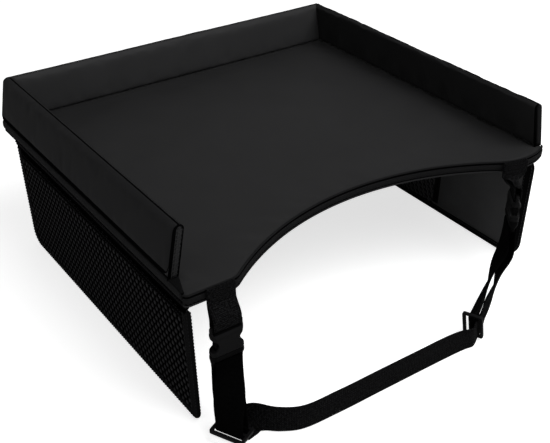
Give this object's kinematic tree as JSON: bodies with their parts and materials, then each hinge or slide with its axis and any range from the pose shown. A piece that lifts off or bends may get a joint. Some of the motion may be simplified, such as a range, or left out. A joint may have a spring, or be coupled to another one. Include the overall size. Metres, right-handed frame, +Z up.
{
  "type": "car seat tray table",
  "caption": "Padded lap tray for a child's car seat, with upright walls, a belly cut-out, folding net-pocket side wings and a buckled waist strap.",
  "frame": {"origin": "centre of the play surface, on its top face", "axes": "+Z up out of the play surface, +X to the tray's right, -Y towards the child, where the belly cut-out is"},
  "size_m": [0.4, 0.4194, 0.1745],
  "materials": {
    "coated_fabric": "smooth matte coated fabric",
    "oxford_fabric": "plain weave oxford",
    "lining_fabric": "plain weave lining",
    "net_fabric": "knitted net",
    "webbing": "ribbed polyester webbing",
    "moulding": "satin moulded acetal",
    "stiff_board": "hidden polypropylene board",
    "foam": "hidden polyethylene foam"
  },
  "bodies": {
    "tray": {"play_surface_skin": "coated_fabric", "foam_pad": "foam", "core_board": "stiff_board", "underside_skin": "lining_fabric", "front_lip_band": "oxford_fabric", "rim_band": "oxford_fabric", "wall_cover_left": "coated_fabric", "wall_board_left": "stiff_board", "wall_pad_left": "foam", "wall_cover_back": "coated_fabric", "wall_board_back": "stiff_board", "wall_pad_back": "foam", "wall_cover_right": "coated_fabric", "wall_board_right": "stiff_board", "wall_pad_right": "foam", "wall_end_gusset_left": "oxford_fabric", "wall_end_gusset_right": "oxford_fabric", "hinge_tape_left": "oxford_fabric", "hinge_tape_right": "oxford_fabric", "webbing_tab_left": "webbing", "webbing_tab_right": "webbing", "buckle_receiver_left": "moulding", "buckle_receiver_right": "moulding"},
    "left_wing": {"wing_panel_left": "lining_fabric", "wing_binding_left": "oxford_fabric", "wing_net_left": "net_fabric", "wing_hem_left": "oxford_fabric", "wing_seam_left": "oxford_fabric", "wing_inner_mesh_left": "net_fabric", "wing_welt_left": "oxford_fabric"},
    "right_wing": {"wing_panel_right": "lining_fabric", "wing_binding_right": "oxford_fabric", "wing_net_right": "net_fabric", "wing_hem_right": "oxford_fabric", "wing_seam_right": "oxford_fabric", "wing_inner_mesh_right": "net_fabric", "wing_welt_right": "oxford_fabric"},
    "left_belt_end": {"buckle_plug_left": "moulding", "webbing_loop_left": "webbing", "waist_strap_left": "webbing"},
    "right_belt_end": {"buckle_plug_right": "moulding", "webbing_loop_right": "webbing", "waist_strap_right": "webbing"},
    "left_slider": {"triglide_left": "moulding"},
    "right_slider": {"triglide_right": "moulding"}
  },
  "joints": [
    {"name": "left_wing_fold", "type": "hinge", "parent": "tray", "child": "left_wing", "pos_m": [-0.196, -0.013, -0.0155], "axis": [0, 1, 0], "range_deg": [-87.5, 90]},
    {"name": "right_wing_fold", "type": "hinge", "parent": "tray", "child": "right_wing", "pos_m": [0.196, -0.0055, -0.0155], "axis": [0, -1, 0], "range_deg": [-87.5, 90]},
    {"name": "left_buckle_release", "type": "slide", "parent": "tray", "child": "left_belt_end", "axis": [0, 0, -1], "range_m": [0, 0.04]},
    {"name": "right_buckle_release", "type": "slide", "parent": "tray", "child": "right_belt_end", "axis": [0, 0, -1], "range_m": [0, 0.04]},
    {"name": "left_slider_adjust", "type": "slide", "parent": "left_belt_end", "child": "left_slider", "axis": [0, 0, 1], "range_m": [0, 0.03], "deforming": ["webbing_loop_left", "waist_strap_left"]},
    {"name": "right_slider_adjust", "type": "slide", "parent": "right_belt_end", "child": "right_slider", "axis": [0.8692, 0.3751, 0.3221], "range_m": [0, 0.05], "deforming": ["webbing_loop_right", "waist_strap_right"]}
  ]
}
